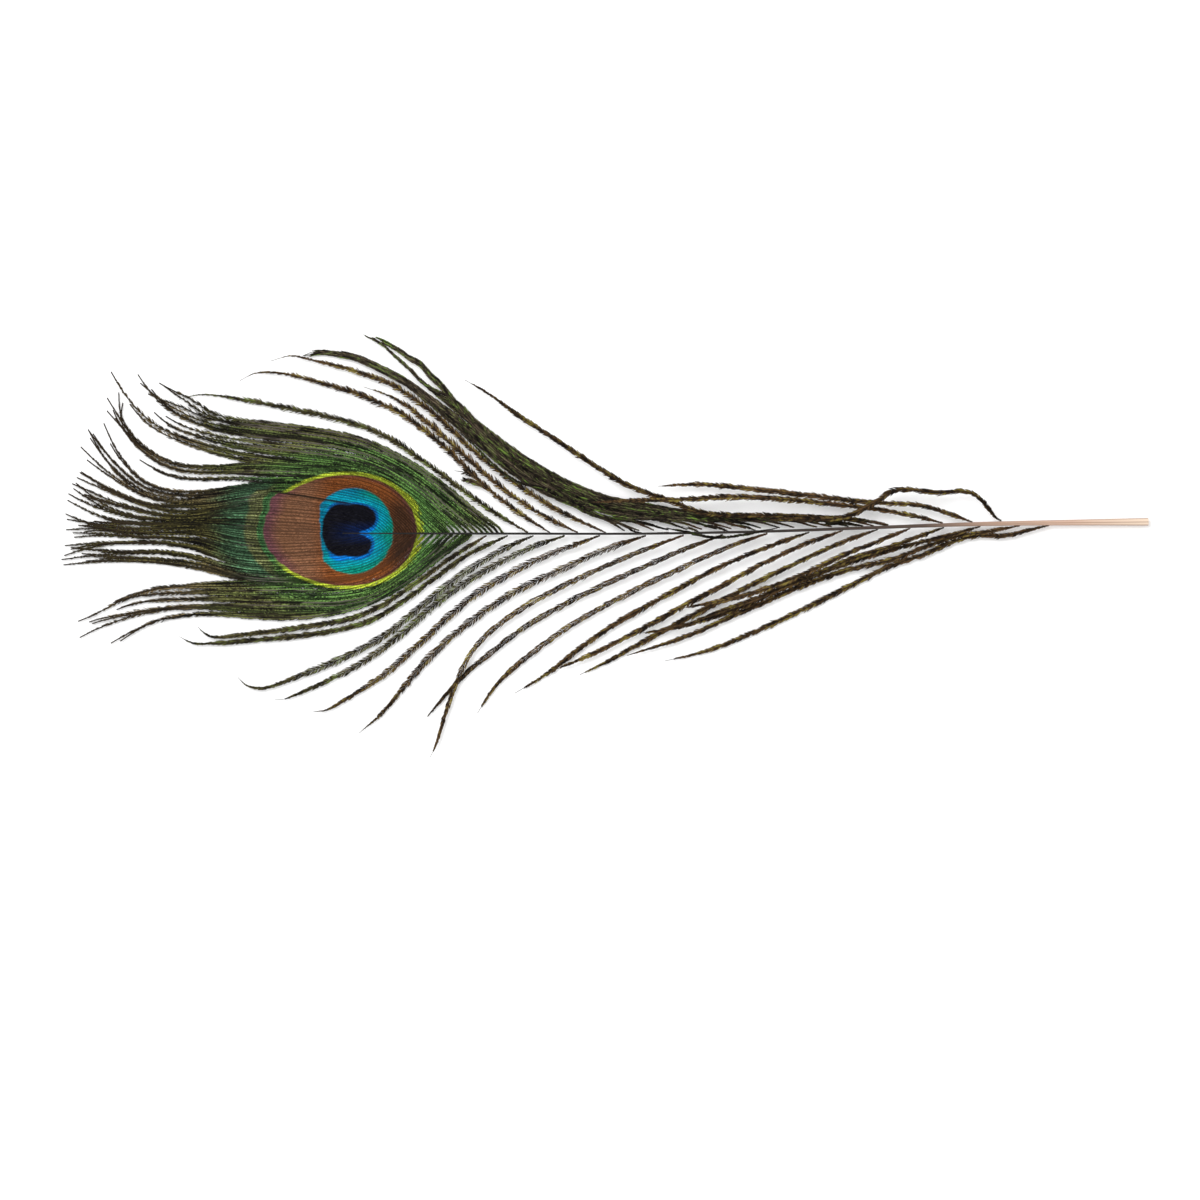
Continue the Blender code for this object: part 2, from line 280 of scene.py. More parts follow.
def only(piece):
    bpy.ops.object.select_all(action="DESELECT")
    piece.select_set(True)
    bpy.context.view_layer.objects.active = piece


def own_copy(piece, name):
    duplicate = piece.copy()
    duplicate.data = piece.data.copy()
    duplicate.name = name
    scene.collection.objects.link(duplicate)
    return duplicate


def join(pieces, name):
    only(pieces[0])
    for piece in pieces:
        piece.select_set(True)
    if len(pieces) > 1:
        bpy.ops.object.join()
    pieces[0].name = name
    return pieces[0]


def read_corners(piece):
    """The corners of a mesh in millimetres, one row each."""
    corners = np.empty(len(piece.data.vertices) * 3)
    piece.data.vertices.foreach_get("co", corners)
    return corners.reshape(-1, 3) / MM


def write_corners(piece, corners):
    piece.data.vertices.foreach_set("co", corners.ravel() * MM)
    piece.data.update()


def edit_where(piece, kind, wanted):
    """Enters edit mode with only the wanted edges or faces selected."""
    only(piece)
    switch("EDIT")
    bpy.ops.mesh.select_mode(type=kind)
    bpy.ops.mesh.select_all(action="DESELECT")
    switch("OBJECT")
    for element in piece.data.edges if kind == "EDGE" else piece.data.polygons:
        element.select = bool(wanted(element))
    switch("EDIT")


def cut_long_edges(piece, longer_than, cuts):
    """Cuts across the edges that are longer than a length in millimetres."""
    corners = read_corners(piece)

    def is_long(edge):
        start, end = corners[list(edge.vertices)]
        return np.linalg.norm(end - start) > longer_than

    edit_where(piece, "EDGE", is_long)
    bpy.ops.mesh.subdivide(number_cuts=cuts)
    switch("OBJECT")


def model_barbule():
    """A flat spike, 1 mm long, whose foot is at the origin and whose tip is at +Y."""
    bpy.ops.mesh.primitive_cone_add(vertices=3, radius1=0.5 * MM, depth=MM)
    spike = bpy.context.object
    cut_long_edges(spike, 0.95, 1)
    switch("EDIT")
    bpy.ops.mesh.select_all(action="SELECT")
    bpy.ops.transform.translate(value=(0, 0, 0.5 * MM))
    bpy.ops.transform.resize(value=(1, 0.3, 1), center_override=(0, 0, 0))
    switch("OBJECT")
    spike.rotation_euler.x = -math.pi / 2
    bpy.ops.object.transform_apply()
    return spike


def model_row(spike):
    """Barbules side by side on both sides of a barb, over ROW_LENGTH."""
    pitch = ROW_LENGTH / ROW_COUNT
    spikes = []
    for index in range(ROW_COUNT):
        for side in (1, -1):
            hair = own_copy(spike, "hair")
            hair.location.x = (index + 0.5 + side * 0.25) * pitch * MM
            hair.rotation_euler.z = 0 if side > 0 else math.pi
            spikes.append(hair)
    row = join(spikes, "row")
    bpy.ops.object.transform_apply()
    return row


barbule = model_barbule()
SPIKE_CORNERS = len(barbule.data.vertices)
barbule_row = model_row(barbule)
print("a barbule has", SPIKE_CORNERS, "corners, a row has", len(barbule_row.data.vertices))

# %% [markdown]
# ## How a barb looks
# Barbs differ in how far their barbules reach, how much they slant, how far the ends curl
# forward and how they cling together in small bundles. Each kind of barb has its own set.
# Where a value changes along the barb, it is a list of (share of the length, value).

# %% Kinds of barb
LOOSE = {
    "reach": [(0, 0.22), (0.06, 0.6), (0.6, 0.74), (0.85, 0.6), (0.94, 0.32), (1, 0.08)],
    "width": [(0, 0.22), (0.85, 0.24), (1, 0.18)],
    "outer_width": 1.1,
    "slant": 34,
    "curl": 0.6,
    "bundle": [(0, 0.25), (1, 0.25)],
    "bundle_length": 1.0,
    "ragged": 0.3,
    "stalk": (0.15, 0.07),
    "spacing": 1.25,
}
HAIRY = {
    **LOOSE,
    "reach": [(0, 0.25), (0.08, 0.74), (0.3, 0.96), (0.7, 0.9), (0.9, 0.46), (1, 0.08)],
    "width": [(0, 0.2), (0.12, 0.13), (0.75, 0.15), (0.9, 0.2), (1, 0.16)],
    "outer_width": 1.6,
    "slant": 42,
    "curl": 0.5,
    "bundle": [(0, 0.4), (1, 0.4)],
}
SPARSE = {
    **HAIRY,
    "reach": [(0, 0.22), (0.1, 0.55), (0.35, 0.68), (0.8, 0.6), (0.93, 0.34), (1, 0.1)],
    "width": [(0, 0.2), (0.12, 0.12), (0.75, 0.12), (0.9, 0.18), (1, 0.16)],
    "outer_width": 2.4,
    "slant": 46,
    "curl": 1.2,
    "stalk": (0.13, 0.06),
}
SPIKY = {
    **LOOSE,
    "reach": [(0, 0.22), (0.1, 0.7), (0.6, 0.84), (0.8, 0.64), (0.9, 0.3), (1, 0.06)],
    "ragged": 0.45,
    "slant": 40,
    "curl": 0.35,
    "bundle": [(0, 0.5), (1, 0.7)],
}
print("kinds of loose barb: plain, hairy, sparse and spiky")

# %% [markdown]
# ## From rows to a barb
# A barb is a tapered stalk with rows of barbules. These are then combed: each gets its own slant
# and reach, and neighbours lean together, because a repeated row would look like a zip. Every
# corner keeps numbers for the finishes: where it is along the barb, where its barbule starts,
# how far across it is, and which barb it belongs to.

# %% Comb a straight barb
STALK_SIDES = 5
STALK_STEP = 2.0
WAVE = 0.8              # how fast the random leaning changes along a barb
BUNDLE_GAP = 0.9        # how much shorter barbules are where a new bundle begins
BUNDLE_START = 0.65     # they are short while more than this share of the bundle lies ahead
BEND_OUT = 0.7          # the share of its reach at which a barbule bends
ROOT_SPLAY = 2.5        # over this length from the shaft the barbules stand out more squarely
ROOT_LEAN = 0.4         # how much of their lean they have at the shaft
TWIST = 0.35            # how far barbules are turned about their own length
FLUTTER = 0.06          # how far their tips rise and sink


def mark(piece, **values):
    """Stores one number per corner under each name."""
    count = len(piece.data.vertices)
    for name, value in values.items():
        layer = piece.data.attributes.new(name, "FLOAT", "POINT")
        layer.data.foreach_set("value", np.broadcast_to(value, count).astype(np.float32))


def waves(places, dice):
    """Random numbers that change slowly along the barb, so that neighbours agree."""
    knots = np.arange(0, places.max() + 2 * WAVE, WAVE)
    return np.interp(places, knots, dice.normal(size=len(knots)))


def comb(hairs, length, look, dice):
    """Gives every barbule its place, width, slant and reach."""
    corners = read_corners(hairs).reshape(-1, SPIKE_CORNERS, 3)
    side = np.sign(corners[:, :, 1].sum(axis=1))
    level = np.abs(corners[:, :, 1])
    middle = corners[:, :, 0].mean(axis=1)
    foot = middle * look["spacing"]
    share = foot / length
    count = len(foot)
    lean = np.where(side > 0, waves(foot, dice), waves(foot, dice))
    uneven = 1 + look["ragged"] * 0.5 * (lean + dice.normal(size=count))
    reach = np.maximum(ease(share, look["reach"]) * uneven, 0.05)
    slant = math.radians(look["slant"]) * (1 + 0.1 * lean + 0.08 * dice.normal(size=count))
    cling = ease(share, look["bundle"])
    ahead = 1 - (foot / look["bundle_length"] + 0.5 * lean) % 1
    reach *= 1 - BUNDLE_GAP * cling ** 4 * (ahead > BUNDLE_START)
    gather = cling * ahead * look["bundle_length"] * np.minimum(reach, 1)
    splay = ROOT_LEAN + (1 - ROOT_LEAN) * np.minimum(foot / ROOT_SPLAY, 1)
    forward = reach * BEND_OUT / np.tan(slant) * splay
    bend = np.stack([forward + 0.5 * gather, side * reach * BEND_OUT], axis=1)
    tip = np.stack([forward + gather + reach * look["curl"] * splay, side * reach], axis=1)
    inner, outer = np.minimum(2 * level, 1), np.maximum(2 * level - 1, 0)
    path = inner[:, :, None] * bend[:, None] + outer[:, :, None] * (tip - bend)[:, None]
    width = ease(share, look["width"])[:, None] * (1 + (look["outer_width"] - 1) * inner)
    thin = np.maximum(1 - level, 0.01)
    offset = (corners[:, :, 0] - middle[:, None]) / thin * width * (level < 0.99)
    roll = TWIST * dice.normal(size=count)[:, None]
    corners[:, :, 2] = corners[:, :, 2] / thin * width + offset * roll
    corners[:, :, 2] += level * FLUTTER * (dice.normal(size=count) - 0.3)[:, None]
    corners[:, :, 0] = foot[:, None] + path[:, :, 0] + offset * np.sin(slant)[:, None]
    corners[:, :, 1] = path[:, :, 1] - offset * (side * np.cos(slant))[:, None]
    write_corners(hairs, corners)
    mark(hairs, along=corners[:, :, 0].ravel(), across=(side[:, None] * level).ravel(),
         foot=np.repeat(foot, SPIKE_CORNERS))


def model_stalk(length, radius, end_radius):
    """A thin tapering rod along +X, cut across so that it can bend."""
    bpy.ops.mesh.primitive_cone_add(
        vertices=STALK_SIDES, radius1=radius * MM, radius2=end_radius * MM, depth=length * MM,
        location=(length / 2 * MM, 0, 0), rotation=(0, math.pi / 2, 0))
    stalk = bpy.context.object
    bpy.ops.object.transform_apply()
    cut_long_edges(stalk, length / 2, max(1, int(length / STALK_STEP)))
    places = read_corners(stalk)[:, 0]
    mark(stalk, along=places, foot=places, across=0.0)
    return stalk


def straight_barb(length, look, dice):
    hairs = own_copy(barbule_row, "hairs")
    only(hairs)
    rows = hairs.modifiers.new("rows", "ARRAY")
    rows.count = max(1, int((length - 0.3) / (ROW_LENGTH * look["spacing"])))
    rows.use_relative_offset = False
    rows.use_constant_offset = True
    rows.constant_offset_displace = (ROW_LENGTH * MM, 0, 0)
    bpy.ops.object.modifier_apply(modifier=rows.name)
    comb(hairs, length, look, dice)
    return join([hairs, model_stalk(length, *look["stalk"])], "barb")


sample = straight_barb(40, LOOSE, np.random.default_rng(1))
print("a 40 mm barb has", len(sample.data.polygons), "faces")
bpy.data.objects.remove(sample)

# %% [markdown]
# ## Laying a barb down
# The straight barb follows its route with a Curve modifier, which keeps the barbules square to the
# stalk. The barbs of a piece are joined, and the piece rides the feather's one body in place of
# its plain solid.

# %% Bend and join
STATION_STEP = 1.2
TABLE_CLEARANCE = 0.02


def route_length(stations):
    return float(np.linalg.norm(np.diff(stations, axis=0), axis=1).sum())


def lay(barb, stations):
    """Bends a straight piece along the stations with a Curve modifier."""
    data = bpy.data.curves.new("route", "CURVE")
    data.dimensions = "3D"
    data.twist_mode = "Z_UP"
    spline = data.splines.new("POLY")
    spline.points.add(len(stations) - 1)
    for point, station in zip(spline.points, stations * MM):
        point.co = (*station, 1)
    route = bpy.data.objects.new("route", data)
    scene.collection.objects.link(route)
    only(barb)
    bend = barb.modifiers.new("bend", "CURVE")
    bend.object = route
    bpy.ops.object.modifier_apply(modifier=bend.name)
    bpy.data.objects.remove(route)
    bpy.data.curves.remove(data)


def grow_barb(stations, look, number):
    """One finished barb along its stations."""
    dice = np.random.default_rng(int(number * 10) + 7)
    barb = straight_barb(route_length(stations), look, dice)
    mark(barb, barb=float(number))
    lay(barb, stations)
    return barb


def finish_piece(barbs, name, finish, node=None):
    """Joins the barbs, gives them their texture rows and puts the piece in the frame."""
    piece = join(barbs, name)
    corners = read_corners(piece)
    corners[:, 2] = np.maximum(corners[:, 2], TABLE_CLEARANCE)
    write_corners(piece, corners)
    values = {}
    for layer in ("along", "across", "barb"):
        values[layer] = np.empty(len(corners))
        piece.data.attributes[layer].data.foreach_get("value", values[layer])
    row = values["barb"] - values["barb"].min()
    up = (row + 0.5 + 0.4 * values["across"]) / (row.max() + 1)
    places = np.stack([values["along"] / values["along"].max(), up], axis=1)
    corner_of_loop = np.empty(len(piece.data.loops), int)
    piece.data.loops.foreach_get("vertex_index", corner_of_loop)
    for layer in list(piece.data.uv_layers):
        piece.data.uv_layers.remove(layer)
    texture_rows = piece.data.uv_layers.new(name="OFBake")
    texture_rows.data.foreach_set("uv", np.clip(places[corner_of_loop], 0, 1).ravel())
    add_finish(piece, finish)
    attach(piece, "root")
    if node:
        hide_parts(node)
    piece.data.calc_loop_triangles()
    triangles = len(piece.data.loop_triangles)
    print(name, "barbs", len(barbs), "triangles", triangles)
    return triangles


total = 0
print("a barb bends every", STATION_STEP, "mm")

# %% [markdown]
# ## Finishes
# Loose barbs are olive brown with golden green glints; those beside the eye are greener, and the
# clump is darker. The rings of the eye are smooth shapes in the feather's own frame, and each barb
# shifts them a little, as real barbs do. The shaft is horn.

# %% Barb finish


def barb_finish(name, dark, middle, glint, unlike):
    """Unlike is how much one barb may be lighter or darker than another."""
    finish = Finish(name, Specular_IOR_Level=0.05)
    step, mix, shade = finish.step, finish.mix, finish.shade_colour
    foot, across = finish.attribute("foot"), finish.attribute("across")
    number = finish.attribute("barb")
    own = finish.random(number)
    streaks = finish.noise(foot * 0.3, across * 1.3, number * 7.3)
    hatch = finish.noise(foot * 1.5, across * 0.5, number * 3.1)
    patches = finish.noise(foot * 0.1, 0.0, number * 5.7)
    light = step(streaks * 0.55 + hatch * 0.45, 0.4, 0.6)
    colour = mix(light, dark, middle)
    glow = step(hatch * 0.5 + streaks * 0.5, 0.5, 0.62) * step(patches, 0.4, 0.58)
    colour = mix(glow, colour, glint)
    edge = step(abs(across), 0.45, 0.8)
    colour = mix(edge * 0.55, colour, dark)
    stalk = step(abs(across), 0.16, 0.03)
    colour = mix(stalk * 0.8, colour, dark)
    root = step(foot, 6, 1) * step(own, 0.5, 0.7)
    colour = mix(root * 0.3, colour, (0.1, 0.045, 0.022))
    colour = shade(colour, (0.64 + hatch * 0.5) * (1 + (own - 0.5) * unlike))
    finish.drive(Base_Color=colour, Roughness=0.65 - glow * 0.2)
    return finish


olive = barb_finish("olive_barb", (0.013, 0.009, 0.006), (0.125, 0.072, 0.032),
                    (0.22, 0.175, 0.04), 0.5)
green = barb_finish("green_barb", (0.012, 0.01, 0.006), (0.1, 0.085, 0.036),
                    (0.13, 0.17, 0.042), 0.3)
clump_dark = barb_finish("clump_barb", (0.005, 0.004, 0.003), (0.1, 0.076, 0.05),
                         (0.115, 0.2, 0.03), 1.2)
print("each barb finish has", len(olive.nodes), "nodes")

# %% Eye finish
EGG_CENTRE = (-62.6, 3.65)
EGG_HALF = (18.4, 13.8)
DISC_CENTRE = (-59.6, 3.5)
DISC_HALF = (9.7, 10.3)
DISC_LEFT = -67.4
HEART_LOBES = [((-62.4, 3.7), (4.6, 6.4)), ((-58.9, 6.6), (5.1, 3.4)), ((-59.2, 0.1), (4.4, 2.85))]
PARTING_SLOPE = 0.16
PARTING_SLIP = 2.2

BRONZE = (0.2, 0.06, 0.014)
BRONZE_DARK = (0.062, 0.026, 0.012)
BRONZE_EDGE = (0.075, 0.028, 0.026)
BRONZE_GREY = (0.205, 0.094, 0.048)
PURPLE = (0.145, 0.055, 0.065)
TEAL = (0.001, 0.23, 0.17)
CYAN = (0.001, 0.3, 0.42)
SKY = (0.001, 0.17, 0.33)
BLUE = (0.001, 0.18, 0.62)
BLUE_DIM = (0.001, 0.12, 0.38)
NAVY = (0.004, 0.004, 0.008)
NAVY_GLOW = (0.002, 0.012, 0.065)
YELLOW = (0.4, 0.49, 0.035)
EMERALD = (0.055, 0.155, 0.052)
MINT = (0.1, 0.26, 0.06)
GREEN_DARK = (0.012, 0.022, 0.008)
GREEN = (0.092, 0.19, 0.046)
OLIVE_BAND = (0.1, 0.11, 0.044)
TEAL_BAND = (0.042, 0.095, 0.048)
OLIVE_DARK = (0.018, 0.014, 0.008)
OLIVE = (0.106, 0.112, 0.036)
FRINGE_DARK = (0.009, 0.007, 0.005)
FRINGE = (0.145, 0.108, 0.054)
TUFT = (0.108, 0.096, 0.03)
STALK_PALE = (0.23, 0.19, 0.18)
BARE_STALK = (0.028, 0.019, 0.011)


def ellipse(x, y, centre, half):
    """Millimetres outside an ellipse, roughly: negative inside."""
    across, up = (x - centre[0]) / half[0], (y - centre[1]) / half[1]
    return (x.finish.math("SQRT", across * across + up * up) - 1) * min(half)


def eye_finish():
    finish = Finish("eye_vane", Specular_IOR_Level=0.06)
    step, mix, shade = finish.step, finish.mix, finish.shade_colour
    place = finish.node("ShaderNodeTexCoord", output="Object")
    split = {axis: finish.node("ShaderNodeSeparateXYZ", {0: place}, output=axis)
             for axis in "XY"}
    foot, across = finish.attribute("foot"), finish.attribute("across")
    number = finish.attribute("barb")
    own, other = finish.random(number), finish.random(number + 0.5)
    streaks = finish.noise(foot * 0.12, across * 1.7, number * 7.3)
    hatch = finish.noise(foot * 1.4, across * 0.5, number * 3.1)
    x = split["X"] / MM + (own - 0.5) * 0.4 + (hatch - 0.5) * 0.3
    y = split["Y"] / MM

    # Shapes. Below the parting over the eye, the left end of the rings sits farther out.
    over = y + (x + 60) * PARTING_SLOPE - 10
    slip = step(y, 8, 12) * step(over, 0.1, -0.1) * PARTING_SLIP
    egg_x = x + slip
    widening = 0.96 + (egg_x - EGG_CENTRE[0]) / EGG_HALF[0] * 0.09
    egg_y = (y - EGG_CENTRE[1]) / widening + EGG_CENTRE[1]
    egg = ellipse(egg_x, egg_y, EGG_CENTRE, EGG_HALF)
    low = finish.math("MINIMUM", y - 5, 0.0)
    flat_side = DISC_LEFT + low * low * 0.013 - x
    disc = finish.math("MAXIMUM", ellipse(x, y, DISC_CENTRE, DISC_HALF), flat_side)
    lobes = [ellipse(x, y, *lobe) for lobe in HEART_LOBES]
    heart = finish.math("SMOOTH_MIN", lobes[0], lobes[1], 0.8)
    heart = finish.math("SMOOTH_MIN", heart, lobes[2], 0.3)

    # The vane outside the eye: rings to its left, green close by and olive farther out
    far = step(egg, 3.5, 11.5) * (1 - step(x, -52, -34) * 0.45) + (other - 0.5) * 0.5
    dash = step(streaks * 0.75 + hatch * 0.25, 0.435, 0.535)
    near = mix(dash, mix(far, GREEN_DARK, OLIVE_DARK), mix(far, GREEN, OLIVE))
    right = step(x, -50, -44) * step(egg, 4.5, 0.8)
    near = mix(right * 0.55, near, MINT)
    tuft = step(abs(y - 3), 10, 5)
    fringe = mix(dash, FRINGE_DARK, mix(tuft, FRINGE, TUFT))
    ring = mix(step(egg, 0.9, 1.3), EMERALD, OLIVE_BAND)
    ring = mix(step(egg, 3.0, 3.8), ring, TEAL_BAND)
    ring = shade(ring, 0.85 + dash * 0.9)
    ring = mix(step(egg + (other - dash) * 3, 4.5, 10), ring, fringe)
    outside = mix(step(x, -77, -81) * step(abs(y - 4), 15, 9), near, ring)
    outside = mix(step(x, -88, -102), outside, fringe)

    # The rim, the bronze field, the disc and the heart
    rim = mix(step(x, -74, -79), YELLOW, EMERALD)
    rim = shade(rim, 0.65 + dash * 0.5 - step(x, -50, -45) * 0.25)
    wide = step(x, -48, -44) * dash * 0.6
    colour = mix(step(egg - wide, 0.95, 0.65), outside, rim)
    bronze = mix(step(x, -64, -71), BRONZE, BRONZE_GREY)
    bronze = mix(step(x, -54, -48.5) * step(abs(y - 3), 12, 5), bronze, BRONZE_DARK)
    bronze = mix(step(egg, -1.2, -0.2) * step(x, -72, -66) * 0.7, bronze, BRONZE_EDGE)
    bronze = mix(step(egg, -3.2, -0.4) * step(x, -70, -78), bronze, PURPLE)
    colour = mix(step(egg, 0.15, -0.2), colour, bronze)
    upper_left = step(y * 0.6 - x, 62, 68)
    teal = mix(upper_left * 0.8, TEAL, SKY)
    teal = mix(step(heart, 2.8, 0.7) * step(x, -67, -64), teal, CYAN)
    colour = mix(step(disc, 0.2, -0.2), colour, teal)
    bright = step(abs(y - 3), 1.8, 0.8) + step(y, -1.5, -3.0)
    blue = mix(bright, BLUE_DIM, BLUE)
    colour = mix(step(heart - bright * 0.3, 0.55, 0.2) * step(x, -66.8, -64.5), colour, blue)
    glow_line = step(abs(y - 3.0), 3.4, 0.2) * step(x, -67, -58)
    colour = mix(step(heart, 0.15, -0.3), colour, mix(glow_line, NAVY, NAVY_GLOW))

    # Fine lines: painted shade between barbs and along a parting, dark stalks that carry painted
    # shade too, and pale stalks outside the eye
    inside = step(egg, 0.8, 0.0)
    # The outer barbules of each barb are darkened: painted shade between barbs
    gap_shade = step(abs(across), 0.25, 0.62)
    tone = (1.25 - inside * 0.15 - gap_shade * (1.1 - inside * 0.6)) * (0.78 + hatch * 0.38)
    spread = 1.3 - inside * 0.8
    low_left = step(y, 0, -6) * step(x, -50, -60)
    light = 1.15 + low_left * 0.3 + step(x, -52, -40) * (step(y, 2, 4) * 0.55 - 0.35)
    colour = shade(colour, tone * (light - spread * 0.5 + own * spread))
    # One side of some barbs is darkened: a painted shadow line in the gap beside them
    gap_shadow_line = step(across, 0.25, 0.55) * step(other, 0.4, 0.2)
    colour = shade(colour, 1 - gap_shadow_line * 0.65)
    # A dark olive band along the parting over the eye is painted shade in the cleft between two
    # locks
    parting_shade = step(abs(over), 0.45, 0.1) * step(x, -81, -78) * step(x, -58, -62)
    colour = mix(parting_shade * 0.8, colour, OLIVE_DARK)
    stalk = step(abs(across), 0.3, 0.1)
    pale = step(other, 0.6, 0.8) * step(foot, 1, 5) * step(streaks, 0.4, 0.52)
    pale = pale * step(egg, 1.5, 4) * step(x, -90, -80)
    # The dark stalk is the barb's own dark colour and also painted shade along the shadowed side
    # between barbs
    colour = shade(colour, 1 - stalk * (0.85 - inside * 0.2))
    colour = mix(stalk * pale * 0.4, colour, STALK_PALE)
    bare = stalk * step(x, -98, -112)
    colour = mix(bare * 0.8, colour, BARE_STALK)
    finish.drive(Base_Color=colour, Roughness=0.6 - inside * 0.15, Metallic=inside * 0.2)
    return finish


eye = eye_finish()
print("the finish of the eye has", len(eye.nodes), "nodes")

# %% Quill finish
SHAFT_REACH = 193       # millimetres


def quill_finish():
    finish = Finish("quill_horn", Specular_IOR_Level=0.2)
    step, mix, shade = finish.step, finish.mix, finish.shade_colour
    along, across = finish.attribute("along"), finish.attribute("across")
    fibres = finish.noise(along * 0.25, across * 9, 0.0, 4.0)
    horn = finish.node("ShaderNodeValToRGB", {0: along / SHAFT_REACH}, stops=[
        (0.0, (0.8, 0.64, 0.5)), (0.1, (0.58, 0.395, 0.3)), (0.2, (0.38, 0.255, 0.19)),
        (0.28, (0.085, 0.058, 0.045)), (0.45, (0.03, 0.023, 0.019)), (0.65, (0.012, 0.01, 0.009)),
        (1.0, (0.006, 0.005, 0.005))])
    fade = step(along, 60, 10)
    lines = step(abs(across - 0.05), 0.16, 0.04) + step(abs(across), 0.66, 0.92)
    colour = mix(lines * fade * 0.75, horn, (0.24, 0.115, 0.07))
    colour = shade(colour, 0.86 + fibres * 0.28)
    bump = finish.node("ShaderNodeBump", {"Strength": 0.25, "Distance": MM / 10, "Height": fibres})
    finish.drive(Base_Color=colour, Roughness=0.32 + fibres * 0.2, Normal=bump)
    return finish


horn = quill_finish()
print("the finish of the quill has", len(horn.nodes), "nodes")

# %% [markdown]
# ## The shaft
# The shaft is a tapered horn rod, cut square at the thick end. It starts as a cylinder: the cut
# end is inset and pressed in for the pith, the long edges are cut across, and the width follows
# the thickness of the shaft. A shallow groove runs along the top.

# %% Model the shaft
SHAFT_SIDES = 20
SHAFT_STEP = 2.5
GROOVE_DEPTH = 0.2
GROOVE_ANGLE = 0.35
END_RIM = 0.16
PITH_EDGE = 0.1
PITH_DEPTH = 0.35


def cut_the_end(shaft):
    """Presses the pith into the square-cut end."""
    edit_where(shaft, "FACE", lambda face: face.normal.x < -0.9)
    bpy.ops.mesh.inset(thickness=END_RIM * MM)
    bpy.ops.mesh.inset(thickness=PITH_EDGE * MM, depth=-PITH_DEPTH * MM)
    switch("OBJECT")


def model_shaft():
    stations = resample(smooth_curve(SHAFT), 90)
    length = route_length(stations[:, :3])
    bpy.ops.mesh.primitive_cylinder_add(
        vertices=SHAFT_SIDES, radius=MM, depth=length * MM,
        location=(length / 2 * MM, 0, 0), rotation=(0, math.pi / 2, 0))
    shaft = bpy.context.object
    bpy.ops.object.transform_apply()
    cut_the_end(shaft)
    cut_long_edges(shaft, length / 2, int(length / SHAFT_STEP))
    corners = read_corners(shaft)
    share = np.clip(corners[:, 0] / length, 0, 1)
    mark(shaft, along=corners[:, 0], foot=corners[:, 0], across=corners[:, 1], barb=0.0)
    radius = np.interp(share, np.linspace(0, 1, len(stations)), stations[:, 3] / 2)
    angle = np.arctan2(corners[:, 1], corners[:, 2])
    groove = 1 - GROOVE_DEPTH * np.exp(-(angle / GROOVE_ANGLE) ** 2) * (1 - 0.7 * share)
    corners[:, 1] *= radius
    corners[:, 2] *= radius * groove
    write_corners(shaft, corners)
    lay(shaft, stations[:, :3])
    only(shaft)
    bpy.ops.object.shade_smooth_by_angle(angle=math.radians(40))
    return shaft


total += finish_piece([model_shaft()], "feather_shaft", horn, "shaft")

# %% [markdown]
# ## Loose barbs
# Each route is a few points on the table, with the barb's height above it at 15 %, at 60 % and at
# the end of its length.

# %% Routes of the loose barbs
UPPER_BARBS = [
    ([(95.5, 5.9), (93.6, 7.2), (90.2, 11.3), (86.4, 13), (80, 12.6), (70.4, 13.3), (65.5, 10.4),
      (58, 6.8), (48, 6.2), (38, 6.4)], (3.4, 5.1, 4.8)),
    ([(88.6, 5.6), (83, 7.6), (76, 9.6), (68, 10.1), (58, 10.9), (48, 12.2), (36, 13.5),
      (24, 14.6), (13.5, 14.2)], (2.6, 2.8, 2.0)),
    ([(81.5, 5.4), (74, 7.2), (65, 8.8), (55, 9.9), (45, 10.9), (32, 11.6), (20, 11),
      (8, 10.8), (-2.5, 10.3)], (2.7, 3.7, 4.4)),
    ([(68.3, 5.0), (58, 6.4), (42, 7.2), (26, 7.6), (16, 10.7), (4, 15.6), (-10, 24.7),
      (-20, 31.2), (-27, 36.3), (-32.7, 39.6)], (3.5, 2.9, 1.4)),
    ([(1, 3.1), (-10, 8.2), (-20, 14.5), (-30, 22.2), (-40, 31.4), (-50, 38.4), (-60, 42),
      (-70, 44.6), (-74.5, 45.4), (-79.2, 44.1)], (2.0, 1.3, 1.0)),
    ([(-5.7, 3.1), (-15, 7.8), (-25, 14.7), (-35, 23.5), (-45, 32.3), (-51, 35.9),
      (-57, 38)], (1.7, 1.0, 0.6)),
    ([(-12.3, 3.1), (-20, 8), (-28, 14.4), (-38, 24), (-47, 31), (-55, 35), (-65, 38.4),
      (-76, 41.1), (-82.5, 41.3), (-86.6, 39.4)], (1.4, 0.8, 0.8)),
    ([(-17.6, 3.1), (-26, 8.2), (-34, 13.8), (-42, 19.8), (-51, 25.8), (-60, 29.4), (-72, 32.3),
      (-84, 34.6), (-93, 36), (-97, 36), (-101, 35)], (1.2, 0.7, 0.7)),
]
